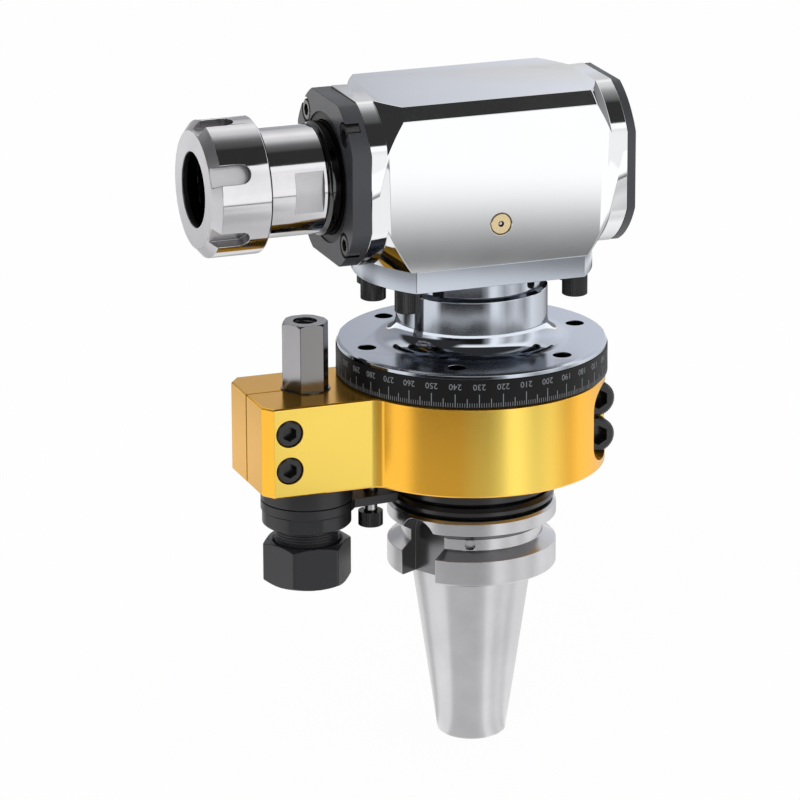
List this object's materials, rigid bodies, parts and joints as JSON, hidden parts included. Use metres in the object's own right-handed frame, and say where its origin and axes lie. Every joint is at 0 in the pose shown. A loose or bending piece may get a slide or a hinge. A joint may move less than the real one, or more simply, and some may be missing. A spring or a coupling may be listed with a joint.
{
  "type": "angle head",
  "caption": "Right-angle milling head: taper shank, clamp ring with a sprung locating pin, graduated flange, and a block housing whose side spindle carries a collet nut.",
  "frame": {"origin": "on the shank's axis, in the gauge plane of its taper", "axes": "+Z along the input axis from the taper to the housing, -X along the output axis towards the collet nut, -Y towards the side with the oiler"},
  "size_m": [0.1593, 0.1006, 0.2511],
  "materials": {
    "chrome_steel": "mirror-bright hard chrome",
    "black_plate": "satin black",
    "black_steel": "black oxide",
    "shank_steel": "fine turned, satin",
    "polished_steel": "ground and polished",
    "bearing_steel": "ground",
    "gear_steel": "ground",
    "gold_aluminium": "gold anodised, satin",
    "rod_steel": "hardened, gunmetal grey",
    "oiler_brass": "bright",
    "seal_rubber": "matte",
    "spring_steel": "spring wire"
  },
  "bodies": {
    "head": {"housing": "chrome_steel", "front_plate": "black_plate", "front_plate_screws": "black_steel", "front_seal": "seal_rubber", "rear_cover": "black_plate", "rear_cover_screws": "black_steel", "neck_flange": "chrome_steel", "base_screws": "black_steel", "degree_ring": "black_plate", "lower_seal_cover": "shank_steel", "lower_seal": "seal_rubber", "oiler_body": "oiler_brass", "input_bearing_outer_rings": "bearing_steel", "input_bearing_ball_rows": "bearing_steel", "input_outer_spacer": "bearing_steel", "neck_bearing_outer_ring": "bearing_steel", "neck_bearing_ball_row": "bearing_steel", "front_bearing_outer_rings": "bearing_steel", "front_bearing_ball_rows": "bearing_steel", "front_outer_spacer": "bearing_steel", "rear_bearing_outer_ring": "bearing_steel", "rear_bearing_ball_row": "bearing_steel"},
    "shank": {"input_shank": "shank_steel", "drive_collar": "shank_steel", "input_bearing_inner_rings": "bearing_steel", "input_inner_spacer": "bearing_steel", "input_lock_nut": "gear_steel", "neck_bearing_inner_ring": "bearing_steel", "input_bevel_gear": "gear_steel"},
    "output": {"output_spindle": "polished_steel", "front_bearing_inner_rings": "bearing_steel", "front_inner_spacer": "bearing_steel", "front_lock_nut": "gear_steel", "rear_bearing_inner_ring": "bearing_steel", "rear_lock_nut": "gear_steel", "output_bevel_gear": "gear_steel"},
    "nut_ring": {"nut_pressure_ring": "polished_steel"},
    "nut": {"collet_nut": "polished_steel"},
    "clamp": {"clamp_ring": "gold_aluminium", "arm_clamp_screws": "black_steel", "ring_clamp_screws": "black_steel", "guide_screw": "black_steel", "locating_pin": "rod_steel", "pin_clip": "spring_steel", "release_spring": "spring_steel"},
    "release": {"release_sleeve": "black_steel", "lock_arm": "black_steel", "ring_nut": "black_steel", "cap_nut": "black_steel"},
    "ball": {"oiler_ball": "bearing_steel"}
  },
  "joints": [
    {"name": "spindle_turn", "type": "hinge", "parent": "head", "child": "shank", "pos_m": [0, 0, 0], "axis": [0, 0, 1], "continuous": true},
    {"name": "output_turn", "type": "hinge", "parent": "head", "child": "output", "pos_m": [0, 0, 0.1552], "axis": [1, 0, 0], "continuous": true},
    {"name": "nut_draw", "type": "slide", "parent": "output", "child": "nut_ring", "axis": [-1, 0, 0], "range_m": [0, 0.003]},
    {"name": "nut_turn", "type": "hinge", "parent": "nut_ring", "child": "nut", "pos_m": [0, 0, 0.1552], "axis": [-1, 0, 0], "range_deg": [0, 720]},
    {"name": "ring_index", "type": "hinge", "parent": "head", "child": "clamp", "pos_m": [0, 0, 0], "axis": [0, 0, 1], "continuous": true},
    {"name": "release_slide", "type": "slide", "parent": "clamp", "child": "release", "axis": [0, 0, 1], "range_m": [0, 0.006], "stiffness_N_per_m": 1500, "springref_m": -0.01, "deforming": ["release_spring"]},
    {"name": "oiler_press", "type": "slide", "parent": "head", "child": "ball", "axis": [0, 1, 0], "range_m": [0, 0.0006], "stiffness_N_per_m": 400, "springref_m": -0.002}
  ],
  "couplings": [
    {"joint": "output_turn", "follows": "spindle_turn", "ratio": -1},
    {"joint": "nut_draw", "follows": "nut_turn", "m_per_rad": 0.00023873}
  ]
}
